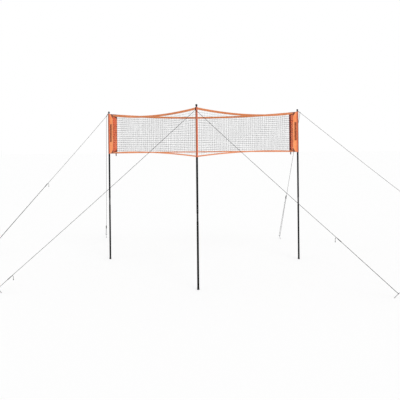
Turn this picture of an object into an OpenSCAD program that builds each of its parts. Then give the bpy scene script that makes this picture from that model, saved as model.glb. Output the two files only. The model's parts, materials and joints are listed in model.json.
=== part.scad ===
// Three-way volleyball net: three telescopic poles in a triangle, three nets between them,
// and two guy lines to ground stakes from each pole.
// Origin on the ground in the middle of the poles' footprint; +X to the right pole,
// -Y to the front pole, +Z up. Millimetres.

/* [Court] */
// Distance between pole axes along each of the two front nets
front_net_l = 2420; // [2000:10:3000]
// Distance between pole axes along the back net
back_net_l = 3134; // [2400:2:3800]
// Height of the nets' top edge at the poles
net_top_z = 2430; // [2240:10:2600]
// Height of a net from its top edge to its bottom edge, at the poles
net_h = 665; // [400:5:1000]

/* [Poles] */
// Outer diameter of the lower and upper pole tubes
tube_od = 28; // [22:0.5:40]
// Wall thickness of the pole tubes
tube_wall = 1.4; // [1:0.1:2]
// Radial clearance between telescoping tubes
tube_clearance = 0.1; // [0.05:0.05:0.1]
// Height of the lower tube's top end
lower_top_z = 905; // [700:5:1100]
// Length of inner tube left bare between the lower and upper tubes
bare_l = 110; // [60:5:200]
// Length of inner tube inside each of the other two tubes
overlap_l = 250; // [150:10:350]
// Wall thickness of the rubber foot round its tube
foot_wall = 2; // [1.5:0.25:6]
// Height of the rubber foot
foot_h = 32; // [20:1:50]

/* [Height lock] */
// How far the net goes down from the upper hole to the lower setting
height_travel = 100; // [50:5:180]
// Diameter of the snap button
button_d = 6.4; // [5:0.2:8]
// How far the button stands out of the upper tube
button_proud = 2.6; // [1.5:0.1:4]

/* [Pole top] */
// Diameter of the cap's round head
head_d = 31; // [26:0.5:44]
// Diameter of the cap's neck
neck_d = 15; // [10:0.5:20]
// Height of the cap's neck
neck_h = 12; // [8:0.5:20]

/* [Net] */
// Height of the top tape
top_tape_h = 30; // [20:1:60]
// Height of the bottom tape
bottom_tape_h = 18; // [12:1:50]
// Thickness of the tapes
tape_t = 2.4; // [1.6:0.2:4]
// How far the top edge sags between two poles
top_sag = 68; // [0:2:120]
// How far the bottom edge of a front net is drawn up between two poles
front_hog = 35; // [0:1:80]
// How far the bottom edge of the back net is drawn up between two poles
back_hog = 8; // [0:1:80]
// Thickness of the mesh twine
twine_t = 3; // [2:0.5:5]
// Length of a side panel, from the pole's axis
panel_l = 136; // [80:2:300]
// Thickness of the side panels
panel_t = 1.6; // [1:0.2:3]

/* [Guy lines] */
// Diameter of the guy rope
rope_d = 5; // [3:0.5:6]
// Height at which the rope goes round its stake
hook_z = 55; // [40:5:80]
// Diameter of the stake's rod
stake_d = 8; // [6:0.5:12]
// Length of a rope runner
runner_l = 62; // [40:2:80]

/* [Hidden] */
$fn = 48;

// Pole places
pole_x = back_net_l / 2;
pole_y = sqrt(front_net_l * front_net_l - pole_x * pole_x) / 2;
FRONT = [0, -pole_y, 0];
LEFT = [-pole_x, pole_y, 0];
RIGHT = [pole_x, pole_y, 0];
net_turn = atan2(2 * pole_y, pole_x);

// Tubes
tube_r = tube_od / 2;
bore_r = tube_r - tube_wall;
inner_r = bore_r - tube_clearance;
inner_bore_r = inner_r - tube_wall;
foot_floor = 5;
foot_fit = 0.05;
foot_r = tube_r + foot_wall;
tread_w = 1.5;
tread_h = 1.2;
upper_bottom_z = lower_top_z + bare_l;
inner_bottom_z = lower_top_z - overlap_l;
inner_top_z = upper_bottom_z + overlap_l;

// Snap button and its spring
button_z = upper_bottom_z + 50;
button_play = 0.3;
button_tip = tube_r + button_proud;
flange_t = 0.8;
flange_r = button_d / 2 + 1;
flange_out = sqrt(pow(inner_bore_r - 0.1, 2) - pow(flange_r, 2));
spring_t = 0.6;
spring_w = 7;
spring_drop = 50;
spring_rise = 8;
spring_bend_r = 5;
spring_front = flange_out - flange_t;
spring_back = sqrt(pow(inner_bore_r - 0.15, 2) - pow(spring_w / 2, 2));

// Rivets that hold the inner tube in the lower one
rivet_d = 3;
rivet_fit = 0.05;
rivet_z = lower_top_z - 50;
rivet_head_r = 3.2;
rivet_head_h = 1.4;

// Cap
shoulder_h = 3;
plug_l = 35;
plug_fit = 0.05;
plug_relief = 0.5;
plug_wall = 2.5;
plug_ribs = 5;
neck_z = net_top_z + shoulder_h;
head_z = neck_z + neck_h;
head_cut = 11;

// Net; pieces that are sewn end to end stop just short of each other
sleeve_fit = 0.3;
sleeve_wall = 1.2;
sleeve_r = tube_r + sleeve_fit + sleeve_wall;
tab_reach = sleeve_r + 5;
mesh_t = 2;
seam_gap = 0.05;
hem_w = 18;
hem_t = 0.4;
patch_l = 48;
strap_tail = 42;
tail_in = 14;
tail_w = 16;
front_columns = 32;
front_rows = 9;
back_columns = 36;
back_rows = 8;

// Guy loops: from the pole's axis to the knot, and how far the knot hangs below the neck ring
rope_r = rope_d / 2;
rope_sides = 8;
loop_fit = 0.3;
knot_r = 6.5;
knot_sides = 12;
ring_r = neck_d / 2 + loop_fit + rope_r;
ring_z = neck_z + loop_fit + rope_r;
loop_out = max(tube_r, sleeve_r) + rope_r + 1;
FRONT_KNOT = [-12, -24, -43];
LEFT_KNOT = [-52, 40, -44];
RIGHT_KNOT = [50, 36, -20];

// Where each rope goes round its stake, from the foot of its pole
FRONT_RIGHT_STAKE = [2514, -359, hook_z];
FRONT_LEFT_STAKE = [-2646, -174, hook_z];
LEFT_SIDE_STAKE = [-2239, 354, hook_z];
LEFT_BACK_STAKE = [-502, 1994, hook_z];
RIGHT_SIDE_STAKE = [2907, -256, hook_z];
RIGHT_BACK_STAKE = [-141, 1834, hook_z];

// How far up its rope each runner sits, from the stake
FRONT_RIGHT_RUNNER = 960;
FRONT_LEFT_RUNNER = 210;
LEFT_SIDE_RUNNER = 1610;
LEFT_BACK_RUNNER = 240;
RIGHT_SIDE_RUNNER = 1400;
RIGHT_BACK_RUNNER = 1050;

// Stakes and runners
stake_r = stake_d / 2;
stake_fit = 0.3;
// The rope goes round the stake in an open turn that bears on its far side
rope_turn_r = 2 * rope_d;
turn_shift = rope_turn_r - rope_r - stake_fit - stake_r;
stake_above = 12;
hook_r = stake_r + rope_r + 3;
stake_sides = 12;
strand_gap = 5;
runner_bore_r = rope_r + 0.3;
runner_r = rope_r + 2.5;
runner_spread = strand_gap - 0.5;

// The rope's spare end: out of the runner, over in a bend and down
tail_out = 8;
tail_bend = 14;
tail_drop = 42;
tail_steps = 8;

// How much a rope hangs down between its runner and its knot, for its length
rope_sag = 0.004;
sag_steps = 8;

// ---------------------------------------------------------------- vectors
function unit(v) = v / norm(v);
function flat(v) = [v[0], v[1], 0];
// Places children with their x, y and z axes along the given directions
module in_frame(x, y, z, at) {
    multmatrix([
        [x[0], y[0], z[0], at[0]],
        [x[1], y[1], z[1], at[1]],
        [x[2], y[2], z[2], at[2]]
    ]) children();
}

// ---------------------------------------------------------------- rope sweep
// Direction of a route at one of its points
function way(p, i) = unit(p[min(i + 1, len(p) - 1)] - p[max(i - 1, 0)]);
// Normals carried along a route without twist, from a first one square to it
function carried(p, n, i = 0) =
    i == len(p) ? [] :
    let (t = way(p, i), m = unit(n - (n * t) * t))
    concat([m], carried(p, m, i + 1));
// A round rope along a route, as one closed polyhedron
module rope(route, first_normal, r = rope_r, sides = rope_sides) {
    count = len(route);
    normals = carried(route, first_normal);
    points = [
        for (i = [0 : count - 1])
            let (t = way(route, i), b = cross(t, normals[i]))
            for (k = [0 : sides - 1])
                route[i] + r * (cos(360 * k / sides) * normals[i] + sin(360 * k / sides) * b)
    ];
    walls = [
        for (i = [0 : count - 2], k = [0 : sides - 1])
            let (a = i * sides + k, b = i * sides + (k + 1) % sides)
            each [[a, a + sides, b], [b, a + sides, b + sides]]
    ];
    last = (count - 1) * sides;
    first_end = [for (k = [1 : sides - 2]) [0, k, k + 1]];
    last_end = [for (k = [1 : sides - 2]) [last, last + k + 1, last + k]];
    polyhedron(points = points, faces = concat(walls, first_end, last_end), convexity = 6);
}

// ---------------------------------------------------------------- poles
// Rubber ferrule with a ring of grip ribs and tread grooves underneath
module foot(pole) {
    rib_z = foot_h / 4;
    rib_h = foot_h / 16;
    color("#151515")
    translate(pole)
    rotate_extrude()
    difference() {
        polygon([
            [0, 0], [foot_r - 1.5, 0], [foot_r, 1.5], [foot_r, rib_z],
            [foot_r - 1, rib_z], [foot_r - 1, rib_z + rib_h], [foot_r, rib_z + rib_h],
            [foot_r, rib_z + 3 * rib_h], [foot_r - 1, rib_z + 3 * rib_h],
            [foot_r - 1, foot_h - 1], [foot_r - 1.6, foot_h], [0, foot_h]
        ]);
        translate([0, foot_floor]) square([tube_r + foot_fit, foot_h]);
        for (r = [foot_r - 3 * tread_w, foot_r - 5 * tread_w])
            translate([r, -1]) square([tread_w, 1 + tread_h]);
    }
}

module tube(outer, bore, bottom, top) {
    translate([0, 0, bottom])
    linear_extrude(top - bottom)
    difference() {
        circle(outer);
        circle(bore);
    }
}

// A hole along x at a height, through one wall or through both
module side_hole(r, z, both) {
    reach = tube_od;
    translate([both ? -reach : 0, 0, z])
    rotate([0, 90, 0])
    cylinder(r = r, h = both ? 2 * reach : reach);
}

module lower_tube(pole, turn) {
    color("#1a1a1c")
    translate(pole) rotate(turn)
    difference() {
        tube(tube_r, bore_r, foot_floor, lower_top_z);
        side_hole(rivet_d / 2 + rivet_fit, rivet_z, true);
    }
}

module inner_tube(pole, turn) {
    color("#202023")
    translate(pole) rotate(turn)
    difference() {
        tube(inner_r, inner_bore_r, inner_bottom_z, inner_top_z);
        side_hole(rivet_d / 2 + rivet_fit, rivet_z, true);
        side_hole(button_d / 2 + button_play, button_z, false);
    }
}

module upper_tube(pole, turn) {
    color("#1a1a1c")
    translate(pole) rotate(turn)
    difference() {
        tube(tube_r, bore_r, upper_bottom_z, net_top_z);
        for (z = [button_z, button_z + height_travel])
            side_hole(button_d / 2 + button_play, z, false);
    }
}

// Hollow ribbed plug in the tube, shoulder on its end, neck for the loops, and a round head
// that keeps them on
module cap(pole) {
    head_r = head_d / 2;
    plug_r = bore_r - plug_fit;
    plug_z = net_top_z - plug_l;
    rib_step = plug_l / plug_ribs;
    color("#101012")
    translate(pole)
    rotate_extrude()
    union() {
        polygon(concat(
            [[plug_r - plug_wall, net_top_z], [plug_r - plug_wall, plug_z]],
            [
                for (i = [0 : plug_ribs - 1])
                    let (z = plug_z + i * rib_step)
                    each [
                        [plug_r, z], [plug_r, z + rib_step / 2],
                        [plug_r - plug_relief, z + rib_step / 2], [plug_r - plug_relief, z + rib_step]
                    ]
            ],
            [
                [tube_r, net_top_z], [tube_r, neck_z], [neck_d / 2, neck_z],
                [neck_d / 2, head_z + 1], [0, head_z + 1], [0, net_top_z]
            ]
        ));
        translate([0, head_z + head_cut])
        intersection() {
            circle(head_r);
            translate([0, -head_cut]) square([head_r, head_cut + head_r]);
        }
    }
}

// The button: a flange inside the inner tube and a round-nosed pin through both walls
module snap_button(pole, turn) {
    nose = 1.2;
    color("#b8bcc0")
    translate(pole) rotate(turn)
    translate([0, 0, button_z]) rotate([0, 90, 0])
    rotate_extrude()
    polygon([
        [0, flange_out - flange_t], [flange_r, flange_out - flange_t], [flange_r, flange_out],
        [button_d / 2, flange_out], [button_d / 2, button_tip - nose],
        [button_d / 2 - 0.4, button_tip - 0.4], [button_d / 2 - nose, button_tip], [0, button_tip]
    ]);
}

// A bent steel strip that presses the button outwards, drawn edge on as one outline
module button_spring(pole, turn) {
    low = button_z - spring_drop;
    knee = button_z - spring_rise;
    top = button_z + spring_rise;
    inside = spring_bend_r - spring_t;
    outer_bend = [for (a = [180 : 15 : 360]) [spring_bend_r * cos(a), low + spring_bend_r * sin(a)]];
    inner_bend = [for (a = [360 : -15 : 180]) [inside * cos(a), low + inside * sin(a)]];
    color("#9aa0a6")
    translate(pole) rotate(turn)
    rotate([90, 0, 0])
    linear_extrude(spring_w, center = true)
    polygon(concat(
        outer_bend,
        [
            [spring_front, knee], [spring_front, top],
            [spring_front - spring_t, top], [spring_front - spring_t, knee]
        ],
        inner_bend,
        [
            [-spring_back + spring_t, knee], [-spring_back + spring_t, top],
            [-spring_back, top], [-spring_back, knee]
        ]
    ));
}

module rivet(pole, turn) {
    color("#9aa0a6")
    translate(pole) rotate(turn)
    translate([0, 0, rivet_z]) rotate([0, 90, 0])
    rotate_extrude()
    polygon([
        [0, -tube_r - rivet_head_h], [rivet_head_r - 1, -tube_r - rivet_head_h],
        [rivet_head_r, -tube_r - 0.4], [rivet_head_r, -tube_r], [rivet_d / 2, -tube_r],
        [rivet_d / 2, tube_r], [rivet_head_r, tube_r], [rivet_head_r, tube_r + 0.4],
        [rivet_head_r - 1, tube_r + rivet_head_h], [0, tube_r + rivet_head_h]
    ]);
}

module tube_rivets() {
    rivet(FRONT, FRONT_TURN);
    rivet(LEFT, LEFT_TURN);
    rivet(RIGHT, RIGHT_TURN);
}

// Each pole's button faces away from the court
FRONT_TURN = -90;
LEFT_TURN = 180;
RIGHT_TURN = 0;

// ---------------------------------------------------------------- nets
// Edges of a net at a distance x along it, between poles that are l apart
function top_edge(x, l) = net_top_z - 4 * top_sag * (x / l) * (1 - x / l);
function bottom_edge(x, l, hog) = net_top_z - net_h + 4 * hog * (x / l) * (1 - x / l);
function steps(from, to, count) = [for (i = [0 : count]) from + (to - from) * i / count];
function backwards(list) = [for (i = [len(list) - 1 : -1 : 0]) list[i]];

// Stands a flat outline up along a net, from one pole towards another
module along_net(from, to, thickness) {
    run = to - from;
    translate(from)
    rotate([90, 0, atan2(run[1], run[0])])
    linear_extrude(thickness, center = true)
    children();
}

// Outline of a sleeve: a ring with a tab towards each net
module sleeve_outline(r, directions) {
    difference() {
        union() {
            circle(r);
            for (a = directions)
                rotate(a)
                polygon([
                    [0, -sleeve_r * sin(60)], [sleeve_r * cos(60), -sleeve_r * sin(60)],
                    [tab_reach, -tape_t / 2], [tab_reach, tape_t / 2],
                    [sleeve_r * cos(60), sleeve_r * sin(60)], [0, sleeve_r * sin(60)]
                ]);
        }
        circle(tube_r + sleeve_fit);
    }
}

// Sewn fabric tube round a pole, with a thicker hem at each end
module sleeve(pole, directions) {
    color("#ff7a2e")
    translate(pole + [0, 0, net_top_z - net_h])
    union() {
        linear_extrude(net_h) sleeve_outline(sleeve_r, directions);
        for (z = [0, net_h - hem_w])
            translate([0, 0, z]) linear_extrude(hem_w) sleeve_outline(sleeve_r + hem_t, directions);
    }
}

// Outline of an end panel, drawn in from all its edges
module panel_outline(from, to, hog, inset) {
    l = norm(to - from);
    xs = steps(tab_reach + seam_gap + inset, panel_l - inset, 3);
    polygon(concat(
        [for (x = xs) [x, bottom_edge(x, l, hog) + inset]],
        [for (x = backwards(xs)) [x, top_edge(x, l) - inset]]
    ));
}

// A fabric end panel between a sleeve and the mesh: hemmed all round, with a patch at each
// corner of its free edge and, where it has one, the tail of a strap under the lower corner
module panel(from, to, hog, tail = 0) {
    l = norm(to - from);
    low = bottom_edge(panel_l, l, hog);
    high = top_edge(panel_l, l);
    color("#ff6a1f")
    union() {
        along_net(from, to, panel_t) panel_outline(from, to, hog, 0);
        along_net(from, to, panel_t + 2 * hem_t)
        difference() {
            panel_outline(from, to, hog, 0);
            panel_outline(from, to, hog, hem_w);
        }
        along_net(from, to, panel_t + 2 * hem_t)
        intersection() {
            panel_outline(from, to, hog, 0);
            union() {
                polygon([[panel_l, low], [panel_l, low + patch_l], [panel_l - patch_l, low]]);
                polygon([[panel_l, high], [panel_l - patch_l, high], [panel_l, high - patch_l]]);
            }
        }
        if (tail > 0)
            along_net(from, to, panel_t)
            polygon([
                [panel_l - tail_in - tail_w, low + hem_w], [panel_l - tail_in - tail_w, low - tail],
                [panel_l - tail_in, low - tail], [panel_l - tail_in, low + hem_w]
            ]);
    }
}

// Webbing along an edge of a net; edge 1 is the top and edge 0 the bottom
module tape(from, to, start, end, count, hog, edge) {
    l = norm(to - from);
    xs = steps(start, end, count);
    color("#e8682c")
    along_net(from, to, tape_t)
    polygon(edge == 1
        ? concat(
            [for (x = xs) [x, top_edge(x, l) - top_tape_h]],
            [for (x = backwards(xs)) [x, top_edge(x, l)]])
        : concat(
            [for (x = xs) [x, bottom_edge(x, l, hog)]],
            [for (x = backwards(xs)) [x, bottom_edge(x, l, hog) + bottom_tape_h]])
    );
}

// Square mesh whose rows follow the tapes; each gap is a hole in one flat outline
module mesh(from, to, start, end, columns, rows, hog) {
    l = norm(to - from);
    xs = steps(start, end, columns);
    half = twine_t / 2;
    function low(x) = bottom_edge(x, l, hog) + bottom_tape_h;
    function high(x) = top_edge(x, l) - top_tape_h;
    function level(x, j) = low(x) + (high(x) - low(x)) * j / rows;
    outline = concat([for (x = xs) [x, low(x)]], [for (x = backwards(xs)) [x, high(x)]]);
    gaps = [
        for (i = [0 : columns - 1], j = [0 : rows - 1])
            let (a = xs[i] + half, b = xs[i + 1] - half)
            each [
                [a, level(a, j) + half], [b, level(b, j) + half],
                [b, level(b, j + 1) - half], [a, level(a, j + 1) - half]
            ]
    ];
    first = len(outline);
    color("#3a3a3e")
    along_net(from, to, mesh_t)
    polygon(
        points = concat(outline, gaps),
        paths = concat(
            [[for (k = [0 : first - 1]) k]],
            [for (g = [0 : columns * rows - 1]) [for (k = [0 : 3]) first + 4 * g + k]]
        )
    );
}

// ---------------------------------------------------------------- guy lines
// The knot that a pole's two ropes pull on
function knot_at(pole, offset) = [pole[0] + offset[0], pole[1] + offset[1], ring_z + offset[2]];

// A short loop of rope round the cap's neck, out over the shoulder, and down to its knot
module guy_loop(pole, offset) {
    out = unit(flat(offset));
    side = [-out[1], out[0], 0];
    knot = knot_at(pole, offset);
    ring = pole + [0, 0, ring_z];
    half_gap = rope_r + 0.2;
    rest = ring + out * loop_out;
    fall = unit(knot - rest);
    end = knot - fall * (knot_r - 2.5);
    round_neck = [
        for (a = [45 : 15 : 315])
            ring + ring_r * (cos(a) * out + sin(a) * side)
    ];
    color("#3c3c40")
    union() {
        rope(concat(
            [end + side * half_gap, rest + side * half_gap],
            round_neck,
            [rest - side * half_gap, end - side * half_gap]
        ), cross(fall, side));
        translate(knot) sphere(knot_r, $fn = knot_sides);
    }
}

// Direction up a rope, from its stake to its knot
function rope_up(pole, offset, stake) = unit(knot_at(pole, offset) - (pole + stake));
// Level direction across a rope, and the one square to both, up the stake
function rope_across(pole, offset, stake) =
    let (up = rope_up(pole, offset, stake)) unit([-up[1], up[0], 0]);
function stake_up(pole, offset, stake) =
    cross(rope_up(pole, offset, stake), rope_across(pole, offset, stake));

// Down from the knot through the runner, round the stake, back up through the runner to a tail
function guy_route(pole, offset, stake, runner) =
    let (
        knot = knot_at(pole, offset),
        hook = pole + stake,
        up = rope_up(pole, offset, stake),
        across = rope_across(pole, offset, stake),
        top = runner + runner_l / 2,
        bottom = runner - runner_l / 2,
        above = knot - up * knot_r,
        leave = hook + up * top + across * strand_gap,
        sag = rope_sag * norm(above - leave),
        turn = hook + up * turn_shift,
        under = unit([0, 0, -1] + up[2] * up),
        over = 90 + asin(up[2]),
        bend = hook + up * (top + tail_out) - across * strand_gap
    )
    concat(
        [
            for (k = [0 : sag_steps])
                let (t = k / sag_steps)
                above + (leave - above) * t - [0, 0, 4 * sag * t * (1 - t)]
        ],
        [hook + up * bottom + across * strand_gap],
        [
            for (a = [90 : 30 : 270])
                turn + rope_turn_r * (cos(a) * up + sin(a) * across)
        ],
        [
            hook + up * bottom - across * strand_gap,
            hook + up * top - across * strand_gap
        ],
        [
            for (k = [0 : tail_steps])
                let (a = over * k / tail_steps)
                bend + tail_bend * (sin(a) * up + (1 - cos(a)) * under)
        ],
        [bend + tail_bend * (sin(over) * up + (1 - cos(over)) * under) - [0, 0, tail_drop]]
    );

module guy(pole, offset, stake, runner) {
    color("#55555a")
    rope(guy_route(pole, offset, stake, runner), stake_up(pole, offset, stake));
}

// A length of the runner's round-sided outline
module runner_slab(r, at, length) {
    translate([0, 0, at])
    linear_extrude(length)
    union() {
        for (x = [-runner_spread, runner_spread]) translate([x, 0]) circle(r);
        square([2 * runner_spread, 2 * r], center = true);
    }
}

// A ribbed slider with one bore for the rope and one for its return
module runner(pole, offset, stake, at) {
    up = rope_up(pole, offset, stake);
    across = rope_across(pole, offset, stake);
    ribs = 7;
    rib_step = runner_l / ribs;
    color("#141416")
    in_frame(across, cross(up, across), up, pole + stake + up * (at - runner_l / 2))
    difference() {
        union() {
            runner_slab(runner_r - 0.7, 0, runner_l);
            for (i = [0 : 2 : ribs - 1]) runner_slab(runner_r, i * rib_step, rib_step);
        }
        for (x = [-strand_gap, strand_gap])
            translate([x, 0, -1]) cylinder(r = runner_bore_r, h = runner_l + 2);
    }
}

// A driven rod, bent over into a hook that keeps the rope down, cut flat where it enters the ground
module stake(pole, offset, place) {
    up = rope_up(pole, offset, place);
    across = rope_across(pole, offset, place);
    rod = stake_up(pole, offset, place);
    hook = pole + place;
    buried = hook_z / rod[2] + 2 * stake_d;
    bend = hook + rod * stake_above - up * hook_r;
    route = concat(
        [hook - rod * buried],
        [for (a = [180 : -20 : 0]) bend + hook_r * (sin(a) * rod - cos(a) * up)]
    );
    color("#8c9094")
    difference() {
        rope(route, across, stake_r, stake_sides);
        translate([hook[0] - 250, hook[1] - 250, -200]) cube([500, 500, 200]);
    }
}

foot(FRONT);  // front_foot
foot(LEFT);  // left_foot
foot(RIGHT);  // right_foot
lower_tube(FRONT, FRONT_TURN);  // front_lower_tube
lower_tube(LEFT, LEFT_TURN);  // left_lower_tube
lower_tube(RIGHT, RIGHT_TURN);  // right_lower_tube
inner_tube(FRONT, FRONT_TURN);  // front_inner_tube
inner_tube(LEFT, LEFT_TURN);  // left_inner_tube
inner_tube(RIGHT, RIGHT_TURN);  // right_inner_tube
upper_tube(FRONT, FRONT_TURN);  // front_upper_tube
upper_tube(LEFT, LEFT_TURN);  // left_upper_tube
upper_tube(RIGHT, RIGHT_TURN);  // right_upper_tube
cap(FRONT);  // front_cap
cap(LEFT);  // left_cap
cap(RIGHT);  // right_cap
snap_button(FRONT, FRONT_TURN);  // front_snap_button
snap_button(LEFT, LEFT_TURN);  // left_snap_button
snap_button(RIGHT, RIGHT_TURN);  // right_snap_button
button_spring(FRONT, FRONT_TURN);  // front_button_spring
button_spring(LEFT, LEFT_TURN);  // left_button_spring
button_spring(RIGHT, RIGHT_TURN);  // right_button_spring
tube_rivets();

sleeve(FRONT, [net_turn, 180 - net_turn]);  // front_sleeve
sleeve(LEFT, [0, -net_turn]);  // left_sleeve
sleeve(RIGHT, [180, 180 + net_turn]);  // right_sleeve
panel(LEFT, FRONT, front_hog);  // left_front_panel
panel(LEFT, RIGHT, back_hog, strap_tail);  // left_back_panel
panel(RIGHT, FRONT, front_hog);  // right_front_panel
panel(RIGHT, LEFT, back_hog, strap_tail);  // right_back_panel

front_start = tab_reach + seam_gap;
front_end = front_net_l - panel_l - seam_gap;
back_start = panel_l + seam_gap;
back_end = back_net_l - back_start;
mesh(FRONT, LEFT, front_start, front_end, front_columns, front_rows, front_hog);  // front_left_mesh
mesh(FRONT, RIGHT, front_start, front_end, front_columns, front_rows, front_hog);  // front_right_mesh
mesh(LEFT, RIGHT, back_start, back_end, back_columns, back_rows, back_hog);  // back_mesh
tape(FRONT, LEFT, front_start, front_end, front_columns, front_hog, 1);  // front_left_top_tape
tape(FRONT, RIGHT, front_start, front_end, front_columns, front_hog, 1);  // front_right_top_tape
tape(LEFT, RIGHT, back_start, back_end, back_columns, back_hog, 1);  // back_top_tape
tape(FRONT, LEFT, front_start, front_end, front_columns, front_hog, 0);  // front_left_bottom_tape
tape(FRONT, RIGHT, front_start, front_end, front_columns, front_hog, 0);  // front_right_bottom_tape
tape(LEFT, RIGHT, back_start, back_end, back_columns, back_hog, 0);  // back_bottom_tape

guy_loop(FRONT, FRONT_KNOT);  // front_guy_loop
guy_loop(LEFT, LEFT_KNOT);  // left_guy_loop
guy_loop(RIGHT, RIGHT_KNOT);  // right_guy_loop
guy(FRONT, FRONT_KNOT, FRONT_RIGHT_STAKE, FRONT_RIGHT_RUNNER);  // front_right_guy
guy(FRONT, FRONT_KNOT, FRONT_LEFT_STAKE, FRONT_LEFT_RUNNER);  // front_left_guy
guy(LEFT, LEFT_KNOT, LEFT_SIDE_STAKE, LEFT_SIDE_RUNNER);  // left_side_guy
guy(LEFT, LEFT_KNOT, LEFT_BACK_STAKE, LEFT_BACK_RUNNER);  // left_back_guy
guy(RIGHT, RIGHT_KNOT, RIGHT_SIDE_STAKE, RIGHT_SIDE_RUNNER);  // right_side_guy
guy(RIGHT, RIGHT_KNOT, RIGHT_BACK_STAKE, RIGHT_BACK_RUNNER);  // right_back_guy
runner(FRONT, FRONT_KNOT, FRONT_RIGHT_STAKE, FRONT_RIGHT_RUNNER);  // front_right_runner
runner(FRONT, FRONT_KNOT, FRONT_LEFT_STAKE, FRONT_LEFT_RUNNER);  // front_left_runner
runner(LEFT, LEFT_KNOT, LEFT_SIDE_STAKE, LEFT_SIDE_RUNNER);  // left_side_runner
runner(LEFT, LEFT_KNOT, LEFT_BACK_STAKE, LEFT_BACK_RUNNER);  // left_back_runner
runner(RIGHT, RIGHT_KNOT, RIGHT_SIDE_STAKE, RIGHT_SIDE_RUNNER);  // right_side_runner
runner(RIGHT, RIGHT_KNOT, RIGHT_BACK_STAKE, RIGHT_BACK_RUNNER);  // right_back_runner
stake(FRONT, FRONT_KNOT, FRONT_RIGHT_STAKE);  // front_right_stake
stake(FRONT, FRONT_KNOT, FRONT_LEFT_STAKE);  // front_left_stake
stake(LEFT, LEFT_KNOT, LEFT_SIDE_STAKE);  // left_side_stake
stake(LEFT, LEFT_KNOT, LEFT_BACK_STAKE);  // left_back_stake
stake(RIGHT, RIGHT_KNOT, RIGHT_SIDE_STAKE);  // right_side_stake
stake(RIGHT, RIGHT_KNOT, RIGHT_BACK_STAKE);  // right_back_stake
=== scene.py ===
"""Three-way volleyball net on poles: its ropes, pegs, nets, cloth and finishes, built round the
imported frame. Metres, with the origin on the ground between the poles."""

from collections import namedtuple
import json
import math

import bmesh
import bpy
import numpy as np
from mathutils import Matrix, Vector


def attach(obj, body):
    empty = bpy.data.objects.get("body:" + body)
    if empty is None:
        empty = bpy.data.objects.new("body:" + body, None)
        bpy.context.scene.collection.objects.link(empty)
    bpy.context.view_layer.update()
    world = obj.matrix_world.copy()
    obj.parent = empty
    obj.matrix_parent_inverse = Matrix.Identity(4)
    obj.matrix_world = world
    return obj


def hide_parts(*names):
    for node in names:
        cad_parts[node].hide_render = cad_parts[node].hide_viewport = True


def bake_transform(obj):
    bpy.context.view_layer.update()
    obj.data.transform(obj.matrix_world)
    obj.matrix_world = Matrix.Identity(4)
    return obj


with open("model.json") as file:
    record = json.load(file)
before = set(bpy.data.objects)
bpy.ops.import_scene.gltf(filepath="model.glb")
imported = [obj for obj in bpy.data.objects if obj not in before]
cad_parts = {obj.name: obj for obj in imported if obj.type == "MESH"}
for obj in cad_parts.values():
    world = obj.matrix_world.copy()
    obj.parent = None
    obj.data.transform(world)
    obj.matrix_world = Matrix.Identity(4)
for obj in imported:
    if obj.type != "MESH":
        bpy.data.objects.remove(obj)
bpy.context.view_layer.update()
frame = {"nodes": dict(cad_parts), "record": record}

# ---------------- sizes, as in the part's source
FRONT_L, BACK_L = 2.420, 3.134
PX = BACK_L / 2
PY = math.sqrt(FRONT_L**2 - PX**2) / 2
POLE = {"front": (0.0, -PY), "left": (-PX, PY), "right": (PX, PY)}
TOP_Z, NET_H = 2.430, 0.665
TUBE_R, SLEEVE_R, TAB = 0.0140, 0.0155, 0.0205
PANEL_L = 0.136
TOP_TAPE, BOTTOM_TAPE = 0.030, 0.018
SAG, FRONT_HOG, BACK_HOG = 0.068, 0.035, 0.008
STRAP_TAIL, TAIL_IN, TAIL_W = 0.042, 0.014, 0.016
ROPE = 0.005
RING_Z, RING_R, LOOP_OUT = 2.4358, 0.0103, 0.0190
KNOT_R = 0.0065
# reach and strand radius of the loops' knots and of the stoppers
LOOP_KNOT, STOPPER = (0.0050, 0.0023), (0.0040, 0.0020)
HOOK_Z, HOOK_R = 0.055, 0.0095
PEG_R, PEG_ABOVE, PEG_BELOW = 0.004, 0.012, 0.140
TURN_R, TURN_SHIFT = 0.010, 0.0032
RUNNER_L, STRAND, TRAVEL = 0.062, 0.005, 0.100
TAIL_OUT, TAIL_BEND, TAIL_DROP = 0.008, 0.014, 0.042
# a guy's sag as a share of its length, and its stretch held still at both ends
ROPE_SAG, STILL = 0.004, 0.02
# the steps between the points of a guy, of its way back and of a loop
ROPE_STEP, BACK_STEP, LOOP_STEP = 0.06, 0.05, 0.01
BUTTON_Z = 1.065
BUTTON_WAY = {"front": -90, "left": 180, "right": 0}
SPRING_T, SPRING_W, SPRING_RISE, SPRING_DROP, SPRING_BEND = 0.0006, 0.0070, 0.008, 0.050, 0.0050
SPRING_FRONT, SPRING_BACK = 0.00937, 0.01037
KNOT = {"front": (-0.012, -0.024, -0.043), "left": (-0.052, 0.040, -0.044), "right": (0.050, 0.036, -0.020)}
# a guy's pole, its peg's place from the pole's foot, and how far up from the peg its runner is
Guy = namedtuple("Guy", "pole place runner")
GUYS = {
    "front_right": Guy("front", (2.514, -0.359), 0.960),
    "front_left": Guy("front", (-2.646, -0.174), 0.210),
    "left_side": Guy("left", (-2.239, 0.354), 1.610),
    "left_back": Guy("left", (-0.502, 1.994), 0.240),
    "right_side": Guy("right", (2.907, -0.256), 1.400),
    "right_back": Guy("right", (-0.141, 1.834), 1.050),
}
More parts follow.
